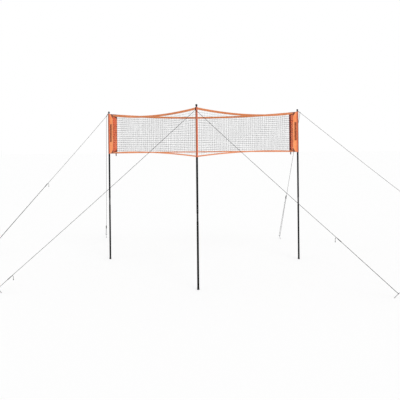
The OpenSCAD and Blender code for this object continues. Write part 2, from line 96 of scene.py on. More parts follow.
# a net's two poles, their distance, where its mesh starts and ends, its lower edge's rise, its body
Net = namedtuple("Net", "first last length start end hog body")
NETS = {
    "front_left": Net("front", "left", FRONT_L, TAB, FRONT_L - PANEL_L, FRONT_HOG, "front_upper"),
    "front_right": Net("front", "right", FRONT_L, TAB, FRONT_L - PANEL_L, FRONT_HOG, "front_upper"),
    "back": Net("left", "right", BACK_L, PANEL_L, BACK_L - PANEL_L, BACK_HOG, "left_upper"),
}
UPPER = {"front": "front_upper", "left": "left_upper", "right": "right_upper"}
Z = np.array([0.0, 0.0, 1.0])


# ---------------- camera
def camera():
    data = bpy.data.cameras.new("camera")
    data.lens, data.sensor_width = 50.0, 36.0
    data.shift_y = -0.16
    data.clip_end = 200
    cam = bpy.data.objects.new("camera", data)
    bpy.context.scene.collection.objects.link(cam)
    turn = Matrix.Rotation(math.radians(2.70), 4, "Z") @ Matrix.Rotation(math.radians(90), 4, "X")
    roll = Matrix.Rotation(math.radians(-0.594), 4, "Z")
    cam.matrix_world = Matrix.Translation((0.392, -8.305, 2.045)) @ turn @ roll
    bpy.context.scene.camera = cam


camera()


# ---------------- finishes
def math_node(operation):
    """A method of a reading that adds a Math node."""

    def method(reading, *others):
        values = dict(enumerate((reading, *others)))
        return reading.nodes.node("ShaderNodeMath", {"operation": operation}, values)

    return method


class Reading:
    """A value that changes over a surface; arithmetic on it adds Math nodes."""

    def __init__(self, nodes, socket):
        self.nodes, self.socket = nodes, socket

    __add__ = __radd__ = math_node("ADD")
    __mul__ = __rmul__ = math_node("MULTIPLY")
    __sub__ = math_node("SUBTRACT")
    __truediv__ = math_node("DIVIDE")
    sin = math_node("SINE")
    abs = math_node("ABSOLUTE")
    frac = math_node("FRACT")
    below = math_node("LESS_THAN")
    above = math_node("GREATER_THAN")
    most = math_node("MAXIMUM")

    def __rsub__(self, other):
        return self * -1.0 + other

    def ramp(self, low, high, start=0.0, end=1.0):
        """Eases from start to end as the value goes from low to high."""
        steps = dict(enumerate((self, low, high, start, end)))
        return self.nodes.node("ShaderNodeMapRange", {"interpolation_type": "SMOOTHSTEP"}, steps)


class Nodes:
    """A node tree, with one way of adding nodes to it."""

    def __init__(self, tree):
        self.tree = tree

    def node(self, kind, settings=None, inputs=None, out=0):
        """Adds a node: its settings first, then the values or links of its sockets."""
        new = self.tree.nodes.new(kind)
        for name, value in (settings or {}).items():
            setattr(new, name, value)
        for key, value in (inputs or {}).items():
            self.give(new.inputs[key], value)
        return Reading(self, new.outputs[out])

    def give(self, socket, value):
        if isinstance(value, Reading):
            self.tree.links.new(value.socket, socket)
        else:
            socket.default_value = value


class Finish(Nodes):
    """A material on the standard shader."""

    def __init__(self, name, rough, metal=0.0, specular=0.5, sheen=0.0):
        self.material = bpy.data.materials.new(name)
        self.material.use_nodes = True
        super().__init__(self.material.node_tree)
        self.shader = self.tree.nodes["Principled BSDF"]
        self.set("Roughness", rough)
        self.set("Metallic", metal)
        self.set("Specular IOR Level", specular)
        self.set("Sheen Weight", sheen)
        self.set("Sheen Roughness", 0.5)

    def set(self, socket, value):
        self.give(self.shader.inputs[socket], value)

    def place(self, kind="Object"):
        return self.node("ShaderNodeTexCoord", out=kind)

    def axes(self, kind="Object"):
        first = self.node("ShaderNodeSeparateXYZ", inputs={0: self.place(kind)})
        return [Reading(self, socket) for socket in first.socket.node.outputs]

    def noise(self, scale, detail, rough=0.55, stretch=(1, 1, 1)):
        at = self.node("ShaderNodeMapping", inputs={"Vector": self.place(), "Scale": stretch})
        grain = {"Vector": at, "Scale": scale, "Detail": detail, "Roughness": rough}
        return self.node("ShaderNodeTexNoise", inputs=grain)

    def mix(self, share, first, second):
        """A colour between two, through the node's colour sockets 6, 7 and 2."""
        first, second = [c if isinstance(c, Reading) else (*c, 1.0) for c in (first, second)]
        return self.node("ShaderNodeMix", {"data_type": "RGBA"}, {0: share, 6: first, 7: second}, out=2)

    def bump(self, height, depth):
        self.set("Normal", self.node("ShaderNodeBump", inputs={"Distance": depth, "Height": height}))


def rgb(r, g, b):
    """A screen colour as the shader's linear one."""
    parts = [c / 255 for c in (r, g, b)]
    return tuple(c / 12.92 if c <= 0.04045 else ((c + 0.055) / 1.055) ** 2.4 for c in parts)


def pole_paint(name, base, worn, wear):
    """Baked paint with a fine orange peel, soft patches and scuffs drawn out along the pole."""
    f = Finish(name, 0.5, specular=0.14)
    peel, patch = f.noise(900, 2), f.noise(5, 3, stretch=(6, 6, 1))
    scuff = f.noise(60, 4, stretch=(3, 3, 0.25))
    marks = scuff.ramp(wear, wear + 0.12)
    f.set("Base Color", f.mix(marks * 0.4 + patch.ramp(0.35, 0.7, 0.0, 0.2), base, worn))
    f.set("Roughness", patch.ramp(0.3, 0.7, 0.42, 0.56) + marks * 0.15)
    f.bump(peel + scuff * 0.4, 0.00006)
    return f.material


def moulded_plastic(name, base, light, rough):
    f = Finish(name, rough, specular=0.22)
    grain, patch = f.noise(1400, 2), f.noise(40, 3)
    f.set("Base Color", f.mix(patch.ramp(0.3, 0.75), base, light))
    f.set("Roughness", patch.ramp(0.3, 0.7, rough - 0.08, rough + 0.1))
    f.bump(grain, 0.00008)
    return f.material


def foot_rubber(name):
    """Dull rubber that has picked up dust near the ground."""
    f = Finish(name, 0.8, specular=0.25)
    dust, grain = f.noise(70, 4), f.noise(1600, 2)
    low = f.axes()[2].ramp(0.0, 0.018, 1.0, 0.0)
    f.set("Base Color", f.mix(dust.ramp(0.45, 0.75) * (low * 0.8 + 0.15), rgb(17, 17, 18), rgb(92, 86, 78)))
    f.set("Roughness", dust.ramp(0.3, 0.7, 0.68, 0.9))
    f.bump(grain + dust * 0.3, 0.00015)
    return f.material


def brushed_steel(name, base, dark, rough):
    f = Finish(name, rough, 1.0)
    brush, patch = f.noise(700, 3, stretch=(1, 1, 0.1)), f.noise(45, 3)
    f.set("Base Color", f.mix(patch.ramp(0.35, 0.75), base, dark))
    f.set("Roughness", patch.ramp(0.3, 0.7, rough - 0.08, rough + 0.16) + brush * 0.06)
    f.bump(brush + patch * 0.5, 0.00005)
    return f.material


def galvanised(name):
    """Zinc on the pegs: pale flakes, and soil where they go into the ground."""
    f = Finish(name, 0.46, 1.0)
    flakes, soil = f.noise(190, 2), f.noise(90, 4)
    low = f.axes()[2].ramp(0.0, 0.02, 0.85, 0.0) * soil.ramp(0.35, 0.6)
    zinc = f.mix(flakes.ramp(0.4, 0.62), rgb(184, 187, 190), rgb(132, 134, 137))
    f.set("Base Color", f.mix(low, zinc, rgb(96, 80, 62)))
    f.set("Metallic", 1.0 - low)
    f.set("Roughness", flakes.ramp(0.35, 0.65, 0.38, 0.58) + low * 0.3)
    f.bump(flakes * 0.6 + soil * 0.4, 0.00008)
    return f.material


def braided_rope(name, base, fleck):
    """Braid on a rope's own map: turns round it, and metres along it."""
    f = Finish(name, 0.75, specular=0.15, sheen=0.04)
    u, v = f.axes("UV")[:2]
    one = (u * 6.0 + v * 210.0) * (2 * math.pi)
    other = (u * -6.0 + v * 210.0) * (2 * math.pi)
    strands = one.sin().most(other.sin())
    f.set("Base Color", f.mix((strands * 0.5 + 0.5) * 0.7 + f.noise(300, 2) * 0.3, base, fleck))
    f.set("Roughness", f.noise(220, 2).ramp(0.3, 0.7, 0.66, 0.85))
    f.bump(strands, 0.00022)
    return f.material


def net_twine(name):
    f = Finish(name, 0.8, specular=0.3)
    wear = f.noise(500, 3)
    f.set("Base Color", f.mix(wear.ramp(0.3, 0.7), rgb(24, 24, 28), rgb(50, 50, 54)))
    f.set("Roughness", wear.ramp(0.3, 0.7, 0.7, 0.9))
    f.bump(f.noise(2600, 2), 0.0002)
    return f.material


def weave(u, v, pitch):
    """Height of a plain weave."""
    k = math.pi / pitch
    return ((u * k).sin() * (v * k).sin()).abs()


def stitches(across, along, at):
    """1 on a row of stitches that runs along, at a place across."""
    pitch, thread, share = 0.0045, 0.0007, 0.68
    return (across - at).abs().below(thread) * (along / pitch).frac().below(share)


def sewn_cloth(name, base, shade, dirt, thread, pitch, rows):
    """Woven cloth; rows are (axis, place) of its lines of stitches, in the sheet's own metres."""
    f = Finish(name, 0.72, specular=0.16, sheen=0.04)
    u, v = f.axes("UV")[:2]
    cloud, fine = f.noise(6, 4), f.noise(260, 3)
    tone = f.mix(cloud.ramp(0.3, 0.72) * 0.7 + fine * 0.2, base, shade)
    tone = f.mix(f.noise(11, 5, 0.62).ramp(0.6, 0.8) * 0.35, tone, dirt)
    height = weave(u, v, pitch) * 0.35 + fine * 0.25
    for axis, at in rows:
        row = stitches(u, v, at) if axis == "u" else stitches(v, u, at)
        tone = f.mix(row, tone, thread)
        height = height + row * 1.2
    f.set("Base Color", tone)
    f.set("Roughness", cloud.ramp(0.3, 0.7, 0.62, 0.82))
    f.bump(height, 0.00035)
    return f.material


def panel_cloth(name, base, shade, patch=False, shaded_edge=False):
    """An end panel: hems, stitches, painted shade at its inner corners, and perhaps a plain sewn patch or a
    dark inner edge painted as shade.
    """
    f = Finish(name, 0.68, specular=0.2, sheen=0.05)
    u, v = f.axes("UV")[:2]
    width, height = PANEL_L - TAB, NET_H
    hem_w, top_hem, shaded_edge_w = 0.016, 0.022, 0.030
    patch_x, patch_z, patch_w, patch_h = 0.040, 0.340, 0.060, 0.300
    top_corner, low_corner = 0.094, 0.072
    cloud, fine = f.noise(7, 4), f.noise(260, 3)
    tone = f.mix(cloud.ramp(0.3, 0.72) * 0.75 + fine * 0.15, base, shade)
    tone = f.mix(f.noise(14, 5, 0.62).ramp(0.6, 0.85) * 0.22, tone, rgb(164, 90, 60))
    hem = u.below(hem_w).most(u.above(width - hem_w)).most(v.below(hem_w)).most(v.above(height - top_hem))
    tone = f.mix(hem * 0.22, tone, rgb(160, 70, 42))
    sewn = stitches(u, v, 0.014)
    for row in (stitches(u, v, width - 0.014), stitches(u, v, width - 0.004), stitches(v, u, 0.014),
                stitches(v, u, height - 0.034), stitches(v, u, height - 0.006)):
        sewn = sewn.most(row)
    raised = hem * 0.5
    if patch:
        off = ((u - patch_x).abs() - patch_w / 2).most((v - patch_z).abs() - patch_h / 2)
        on = off.below(0.0)
        tone = f.mix(on * f.noise(30, 4).ramp(0.3, 0.7, 0.7, 0.95), tone, rgb(118, 46, 20))
        sewn = sewn.most(stitches(off, u + v, -0.004))
        raised = raised + on * 0.8
    edge = width - u
    # painted shade: the top and bottom inner corners are darkened to stand for shade where the tapes and
    # net meet the panel
    corner = (edge + (height - v)).below(top_corner).most((edge + v).below(low_corner))
    tone = f.mix(corner * 0.94, tone, rgb(92, 16, 5))
    # painted shade: a dark strip along the inner edge stands for the shade of a folded edge, with a row of
    # stitches beside it
    if shaded_edge:
        tone = f.mix(edge.below(shaded_edge_w) * 0.96, tone, rgb(124, 14, 5))
        sewn = sewn.most(stitches(u, v, width - shaded_edge_w + 0.002))
    tone = f.mix(sewn, tone, rgb(236, 186, 158))
    f.set("Base Color", tone)
    f.set("Roughness", cloud.ramp(0.3, 0.7, 0.6, 0.78))
    f.bump(weave(u, v, 0.0009) * 0.35 + fine * 0.25 + sewn * 1.2 + raised, 0.00035)
    return f.material


def ribbed_webbing(name, base, shade):
    """Strap webbing: fine ribs across, a fine weave, and a row of stitches near one side."""
    f = Finish(name, 0.7, specular=0.3, sheen=0.1)
    u, v = f.axes("UV")[:2]
    ribs = (v * (2 * math.pi / 0.0016)).sin()
    tone = f.mix(f.noise(40, 4).ramp(0.3, 0.7), base, shade)
    row = stitches(u, v, 0.003)
    tone = f.mix(row, tone, rgb(150, 96, 74))
    f.set("Base Color", tone)
    f.set("Roughness", f.noise(120, 2).ramp(0.3, 0.7, 0.62, 0.82))
    f.bump(ribs * 0.5 + weave(u, v, 0.0012) * 0.3 + row, 0.0003)
    return f.material


def closure_pile(name):
    """The brushed pile of a sleeve's closing strip."""
    f = Finish(name, 0.85, specular=0.2, sheen=0.2)
    pile, patch = f.noise(900, 3), f.noise(25, 3)
    f.set("Base Color", f.mix(patch.ramp(0.3, 0.7) * 0.6 + pile * 0.4, rgb(160, 106, 82), rgb(130, 86, 66)))
    f.set("Roughness", pile.ramp(0.3, 0.7, 0.8, 0.95))
    f.bump(pile, 0.0005)
    return f.material


LOOK = {
    "pole_paint": pole_paint("pole_paint", rgb(6, 6, 7), rgb(30, 30, 32), 0.66),
    "inner_tube_paint": pole_paint("inner_tube_paint", rgb(16, 16, 17), rgb(88, 88, 91), 0.56),
    "foot_rubber": foot_rubber("foot_rubber"),
    "cap_plastic": moulded_plastic("cap_plastic", rgb(13, 13, 14), rgb(26, 26, 28), 0.42),
    "runner_plastic": moulded_plastic("runner_plastic", rgb(7, 7, 8), rgb(18, 18, 20), 0.5),
    "button_steel": brushed_steel("button_steel", rgb(205, 207, 210), rgb(165, 166, 170), 0.26),
    "spring_steel": brushed_steel("spring_steel", rgb(176, 178, 182), rgb(120, 121, 126), 0.3),
    "rivet_steel": brushed_steel("rivet_steel", rgb(168, 170, 174), rgb(110, 112, 116), 0.38),
    "stake_steel": galvanised("stake_steel"),
    "guy_rope": braided_rope("guy_rope", rgb(10, 10, 11), rgb(34, 34, 37)),
    "net_twine": net_twine("net_twine"),
}

slots = {s["node"]: s["material_slot"] for s in frame["record"]["subparts"]}
for name, node in frame["nodes"].items():
    if slots.get(name) in LOOK:
        node.data.materials.clear()
        node.data.materials.append(LOOK[slots[name]])


# ---------------- lines, tubes and meshes
def unit(v):
    v = np.asarray(v, float)
    return v / np.linalg.norm(v)


def arc(degrees):
    return [math.radians(a) for a in degrees]


def lengths_along(points):
    """The length of a line from its start to each of its points."""
    return np.concatenate([[0], np.cumsum(np.linalg.norm(np.diff(points, axis=0), axis=1))])


def ring_faces(rings, sides):
    """Faces between rings of corners, one after the other, with so many corners each."""
    faces = []
    for i in range(rings - 1):
        for k in range(sides):
            u, v = i * sides + k, i * sides + (k + 1) % sides
            faces.append((u, v, v + sides, u + sides))
    return faces


def even_points(points, step):
    """The same line with extra points, none further apart than step."""
    out = [points[0]]
    for a, b in zip(points[:-1], points[1:]):
        n = max(1, math.ceil(np.linalg.norm(b - a) / step))
        out += [a + (b - a) * i / n for i in range(1, n + 1)]
    return np.array(out)


def carried_normals(p):
    """Directions along a line, and normals carried along it without twist."""
    t = np.gradient(p, axis=0)
    t /= np.linalg.norm(t, axis=1)[:, None]
    n = np.zeros_like(p)
    first = Z if abs(t[0][2]) < 0.9 else np.array([1.0, 0, 0])
    n[0] = unit(first - (first @ t[0]) * t[0])
    for i in range(1, len(p)):
        n[i] = unit(n[i - 1] - (n[i - 1] @ t[i]) * t[i])
    return t, n


def tube_shape(points, radius, sides):
    """Corners, faces and map of a round tube with closed, slightly rounded ends."""
    dome = 0.35 * radius
    p = np.asarray(points, float)
    t, n = carried_normals(p)
    b = np.cross(t, n)
    angle = np.linspace(0, 2 * np.pi, sides, endpoint=False)
    ring = np.cos(angle)[:, None, None] * n[None] + np.sin(angle)[:, None, None] * b[None]
    verts = list((p[None] + radius * ring).transpose(1, 0, 2).reshape(-1, 3))
    run = lengths_along(p)
    uv = [(1.0 - abs(2 * k / sides - 1), s) for s in run for k in range(sides)]
    faces = ring_faces(len(p), sides)
    for end, base, sign in ((0, 0, -1), (len(p) - 1, (len(p) - 1) * sides, 1)):
        tip = len(verts)
        verts.append(p[end] + t[end] * sign * dome)
        uv.append((0.5, run[end]))
        for k in range(sides):
            a, c = base + k, base + (k + 1) % sides
            faces.append((a, tip, c) if sign < 0 else (a, c, tip))
    return verts, faces, uv


def from_shape(name, verts, faces, look, body, uv, outward=False):
    """A piece from its corners and faces, with its own map and its body to ride on."""
    mesh = bpy.data.meshes.new(name)
    mesh.from_pydata([tuple(v) for v in verts], [], faces)
    if outward:
        bm = bmesh.new()
        bm.from_mesh(mesh)
        bmesh.ops.recalc_face_normals(bm, faces=bm.faces)
        bm.to_mesh(mesh)
        bm.free()
    mesh.update()
    layer = mesh.uv_layers.new(name="UVMap")
    corners = np.zeros(len(mesh.loops), dtype=np.int32)
    mesh.loops.foreach_get("vertex_index", corners)
    layer.data.foreach_set("uv", np.asarray(uv, np.float32)[corners].ravel())
    mesh.polygons.foreach_set("use_smooth", [True] * len(mesh.polygons))
    mesh.materials.append(look)
    piece = bpy.data.objects.new(name, mesh)
    bpy.context.scene.collection.objects.link(piece)
    if body:
        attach(piece, body)
    return piece


def waves(count, octaves, seed, scale):
    """A smooth function of two numbers, in about -1..1, made of a few slanted waves."""
    g = np.random.default_rng(seed)
    parts = []
    for o in range(octaves):
        for _ in range(count):
            parts.append((g.normal(0, 1.0, 2) * scale * (1 + 0.7 * o), g.uniform(0, 6.28), 1 / (1 + o)))
    total = sum(part[2] for part in parts)
    return lambda x, y: sum(a * np.sin(k[0] * x + k[1] * y + at) for k, at, a in parts) / total * 1.8


# ---------------- guy ropes
def guy_lines(guy):
    """A guy's knot and hook, and its directions up the rope, level across it, and up its peg."""
    foot = np.array([*POLE[guy.pole], 0.0])
    knot = foot + Z * RING_Z + np.array(KNOT[guy.pole])
    hook = foot + np.array([*guy.place, HOOK_Z])
    up = unit(knot - hook)
    across = unit([-up[1], up[0], 0.0])
    return knot, hook, up, across, np.cross(up, across)


def rope_piece(name, route, step, body=None, sides=10):
    points = even_points(route, step)
    verts, faces, uv = tube_shape(points, ROPE / 2, sides)
    rope = from_shape(name, verts, faces, LOOK["guy_rope"], body, uv)
    return rope, points


def knot_piece(name, centre, along, side, size, body):
    """A small tight rope knot wound round an axis; its size is its reach and its strand's radius."""
    reach, strand = size
    third = np.cross(along, side)
    points = []
    for t in np.linspace(0, 2 * np.pi, 65):
        wind = math.cos(2 * t) * side + math.sin(2 * t) * third
        points.append(centre + reach * (0.72 + 0.38 * math.cos(3 * t)) * wind
                      + along * (reach * 0.75 * math.sin(3 * t)))
    verts, faces, uv = tube_shape(points, strand, 8)
    knot = from_shape(name, verts, faces, LOOK["guy_rope"], body, uv)
    return knot


def guy_rope(name, guy):
    """The rope from its pole's knot down through the runner and round the peg, and its way back:
    up through the runner, over in a bend and down to a stopper knot, which follows the runner."""
    knot, hook, up, across = guy_lines(guy)[:4]
    top, bottom = guy.runner + RUNNER_L / 2, guy.runner - RUNNER_L / 2
    above = knot - up * KNOT_R
    # the two strands keep their distance as far as the runner slides, up and down
    leave = hook + up * (top + TRAVEL) + across * STRAND
    near = hook + up * (bottom - TRAVEL)
    sag = ROPE_SAG * np.linalg.norm(above - leave)
    turn = hook + up * TURN_SHIFT
    down = [above + (leave - above) * t - Z * 4 * sag * t * (1 - t) for t in np.linspace(0, 1, 33)]
    round_peg = [turn + TURN_R * (math.cos(a) * up + math.sin(a) * across) for a in arc(range(90, 271, 15))]
    rope, points = rope_piece(name + "_rope", [*down, near + across * STRAND, *round_peg], ROPE_STEP)
    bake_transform(rope)
    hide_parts(name + "_guy")

    under = unit(-Z + up[2] * up)
    over = math.pi / 2 + math.asin(up[2])
    bend = hook + up * (top + TAIL_OUT) - across * STRAND
    hanging = [bend + TAIL_BEND * (math.sin(a) * up + (1 - math.cos(a)) * under)
               for a in np.linspace(0, over, 13)]
    back = [round_peg[-1], near - across * STRAND, hook + up * top - across * STRAND]
    back += [*hanging, hanging[-1] - Z * TAIL_DROP]
    tail, tail_points = rope_piece(name + "_rope_back", back, BACK_STEP)
    slider = name + "_slider"
    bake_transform(tail)
    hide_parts(name + "_guy")
    stopper = knot_piece(name + "_stopper", tail_points[-1] + Z * STOPPER[0], -Z, across, STOPPER, slider)


def guy_loop(pole):
    """The short loop round the cap's neck, out over its shoulder and down to the knot."""
    offset = np.array(KNOT[pole])
    out = unit([offset[0], offset[1], 0.0])
    side = np.array([-out[1], out[0], 0.0])
    ring = np.array([*POLE[pole], RING_Z])
    knot = ring + offset
    rest = ring + out * LOOP_OUT
    fall = unit(knot - rest)
    tuck, gap, before, after = 0.0025, 0.0002, 0.003, 0.004
    end = knot - fall * (KNOT_R - tuck)
    half = side * (ROPE / 2 + gap)
    turn_in, turn_down = rest - out * before, rest + fall * after
    round_neck = [ring + RING_R * (math.cos(a) * out + math.sin(a) * side) for a in arc(range(45, 316, 15))]
    route = [end + half, turn_down + half, turn_in + half, *round_neck,
             turn_in - half, turn_down - half, end - half]
    loop, points = rope_piece(pole + "_loop_rope", route, LOOP_STEP, UPPER[pole], 12)
    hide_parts(pole + "_guy_loop")
    knob = knot_piece(pole + "_loop_knot", knot, fall, side, LOOP_KNOT, UPPER[pole])


for name, guy in GUYS.items():
    guy_rope(name, guy)
for pole in POLE:
    guy_loop(pole)


# ---------------- modelling by hand
def start(add, **where):
    """Adds a primitive at its place with nothing else selected, and opens it for editing."""
    bpy.ops.object.select_all(action="DESELECT")
    add(**where)
    bpy.ops.object.mode_set(mode="EDIT")
    bpy.ops.mesh.select_mode(type="VERT")
    bpy.ops.mesh.select_all(action="SELECT")
    return bpy.context.active_object


def choose(piece, test):
    """Selects only the faces whose place and direction pass a test."""
    bpy.ops.mesh.select_mode(type="FACE")
    bpy.ops.mesh.select_all(action="DESELECT")
    turn = piece.matrix_world.to_3x3()
    bm = bmesh.from_edit_mesh(piece.data)
    for face in bm.faces:
        face.select_set(bool(test(piece.matrix_world @ face.calc_center_median(), turn @ face.normal)))
    bmesh.update_edit_mesh(piece.data)


def pull(x=0.0, y=0.0, z=0.0, grow=None):
    """Extrudes what is selected by a distance, then sizes its new end about its own middle."""
    bpy.ops.mesh.extrude_region_move(TRANSFORM_OT_translate={"value": (x, y, z)})
    if grow:
        bpy.ops.transform.resize(value=(grow, grow, grow))


def only(piece):
    """Makes a piece the selected and active one."""
    bpy.ops.object.select_all(action="DESELECT")
    piece.select_set(True)
    bpy.context.view_layer.objects.active = piece


def close_seams():
    """Joins doubled corners and turns all faces outwards."""
    bpy.ops.mesh.select_all(action="SELECT")
    bpy.ops.mesh.remove_doubles(threshold=1e-6)
    bpy.ops.mesh.normals_make_consistent(inside=False)


def done(piece, name):
    """Closes editing and sets a finished piece's place into its mesh."""
    bpy.ops.object.mode_set(mode="OBJECT")
    only(piece)
    bpy.ops.object.transform_apply(location=True, rotation=True, scale=True)
    piece.name = piece.data.name = name
    return piece


def apply_all(piece):
    only(piece)
    for modifier in list(piece.modifiers):
        bpy.ops.object.modifier_apply(modifier=modifier.name)


def copy_of(piece, name):
    """A copy with its own mesh."""
    twin = piece.copy()
    twin.data = piece.data.copy()
    twin.name = twin.data.name = name
    bpy.context.scene.collection.objects.link(twin)
    return twin


def placed_copy(model, name, place, look):
    """A copy of a model with its own place set into its mesh, and its finish."""
    piece = copy_of(model, name)
    piece.matrix_world = place
    piece.data.materials.append(look)
    return done(piece, name)


def remove(*pieces):
    for piece in pieces:
        bpy.data.objects.remove(piece, do_unlink=True)


# ---------------- ground pegs
def peg_model():
    """One peg: its rod up z, with the rope's place at the origin, and its hook bent over towards -x."""
    peg = start(bpy.ops.mesh.primitive_circle_add, vertices=20, radius=PEG_R, fill_type="NGON",
                location=(0, 0, -PEG_BELOW))
    pull(z=PEG_BELOW)
    pull(z=PEG_ABOVE)
    top = PEG_ABOVE
    choose(peg, lambda at, way: at.z > top - 1e-4 and way.z > 0.5)
    bpy.ops.mesh.spin(steps=15, angle=math.pi, center=(-HOOK_R, 0, top), axis=(0, 1, 0))
    tip_x = PEG_R - 2 * HOOK_R
    choose(peg, lambda at, way: at.x < tip_x and abs(at.z - top) < 1e-4 and way.z < -0.5)
    pull(z=-0.0016, grow=0.86)
    pull(z=-0.0010, grow=0.62)
    close_seams()
    done(peg, "peg_model")
    bpy.ops.object.shade_smooth_by_angle(angle=math.radians(35))
    return peg


def pegs():
    model = peg_model()
    for name, guy in GUYS.items():
        hook, up, across, rod = guy_lines(guy)[1:]
        place = Matrix([[up[i], across[i], rod[i], hook[i]] for i in range(3)] + [[0, 0, 0, 1]])
        peg = placed_copy(model, name + "_peg", place, LOOK["stake_steel"])
        bpy.ops.object.mode_set(mode="EDIT")
        bpy.ops.mesh.select_all(action="SELECT")
        bpy.ops.mesh.bisect(plane_co=(0, 0, 0), plane_no=(0, 0, 1), use_fill=True, clear_inner=True)
        bpy.ops.object.mode_set(mode="OBJECT")
        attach(peg, "ground_set")
        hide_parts(name + "_stake")
    remove(model)


pegs()


# ---------------- button springs
def spring_model():
    """A strip bent into a narrow U: its back leg, its bend, and its front leg up to the button."""
    spring = start(bpy.ops.mesh.primitive_plane_add, size=1, location=(0, 0, BUTTON_Z + SPRING_RISE))
    bpy.ops.transform.resize(value=(SPRING_T, SPRING_W, 1))
    bpy.ops.transform.translate(value=(SPRING_T / 2 - SPRING_BACK, 0, 0))
    low, mid = BUTTON_Z - SPRING_DROP, SPRING_BEND - SPRING_T / 2
    pull(z=-2 * SPRING_RISE)
    for _ in range(4):
        pull(x=(SPRING_BACK - SPRING_BEND) / 4, z=(SPRING_RISE - SPRING_DROP) / 4)
    choose(spring, lambda at, way: at.z < low + 1e-4 and abs(way.z) > 0.7)
    bpy.ops.mesh.spin(steps=12, angle=math.pi, center=(0, 0, low), axis=(0, 1, 0))
    choose(spring, lambda at, way: at.x > mid - 1e-4 and abs(way.x) < 0.7 and abs(way.z) > 0.7)
    for _ in range(8):
        pull(x=(SPRING_FRONT - SPRING_BEND) / 8, z=(SPRING_DROP - SPRING_RISE) / 8)
    pull(z=2 * SPRING_RISE)
    close_seams()
    done(spring, "spring_model")
    edge = spring.modifiers.new("rolled_edge", "BEVEL")
    edge.width, edge.segments = 0.00012, 2
    edge.limit_method, edge.angle_limit = "ANGLE", math.radians(40)
    apply_all(spring)
    bpy.ops.object.shade_smooth_by_angle(angle=math.radians(35))
    return spring


def springs():
    model = spring_model()
    for pole, degrees in BUTTON_WAY.items():
        turn = Matrix.Rotation(math.radians(degrees), 4, "Z")
        place = Matrix.Translation((*POLE[pole], 0)) @ turn
        spring = placed_copy(model, pole + "_spring_strip", place, LOOK["spring_steel"])
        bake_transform(spring)
        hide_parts(pole + "_button_spring")
    remove(model)


springs()


# ---------------- nets
PITCH, TWINE_R = 0.0333, 0.00095
COLUMNS, ROWS = {"front_left": 68, "front_right": 68, "back": 86}, 18
# how far the mesh reaches into its tapes, hangs out of its plane, and is drawn along its tapes
TUCK, BELLY, GATHER = 0.003, 0.007, 0.016


def net_frame(a, b):
    """Start, direction along and direction across of the net from pole a to pole b."""
    p, q = np.array([*POLE[a], 0.0]), np.array([*POLE[b], 0.0])
    d = unit(q - p)
    return p, d, np.array([-d[1], d[0], 0.0])


def top_edge(x, l):
    return TOP_Z - 4 * SAG * (x / l) * (1 - x / l)


def bottom_edge(x, l, hog):
    return TOP_Z - NET_H + 4 * hog * (x / l) * (1 - x / l)


def twine_model(name, turn, step):
    """A length of twine from one knot to the next, a little thinner in its middle."""
    twine = start(bpy.ops.mesh.primitive_circle_add, vertices=4, radius=TWINE_R * 1.2, fill_type="NOTHING",
                  rotation=turn)
    pull(*[v / 2 for v in step], grow=0.8)
    pull(*[v / 2 for v in step], grow=1.25)
    close_seams()
    return done(twine, name)


def knot_model():
    """A net knot: a flattened ball with a strand standing out on each diagonal."""
    knot = start(bpy.ops.mesh.primitive_uv_sphere_add, segments=8, ring_count=3, radius=TWINE_R * 2.2,
                 rotation=(math.radians(90), math.radians(22.5), 0))
    bpy.ops.transform.resize(value=(1.0, 0.8, 1.0))
    choose(knot, lambda at, way: abs(way.y) < 0.3 and abs(abs(way.x) - abs(way.z)) < 0.2)
    bpy.ops.mesh.inset(thickness=TWINE_R * 0.2, depth=TWINE_R * 0.35, use_individual=True)
    close_seams()
    return done(knot, "knot_model")


def repeated(model, name, across, up):
    """A copy of a model in rows: so many across, and so many up."""
    rows = copy_of(model, name)
    for count, step in ((across, (PITCH, 0, 0)), (up, (0, 0, PITCH))):
        array = rows.modifiers.new("row", "ARRAY")
        array.count = count
        array.use_relative_offset = False
        array.use_constant_offset = True
        array.constant_offset_displace = step
        array.use_merge_vertices = True
        array.merge_threshold = 1e-5
    apply_all(rows)
    return rows


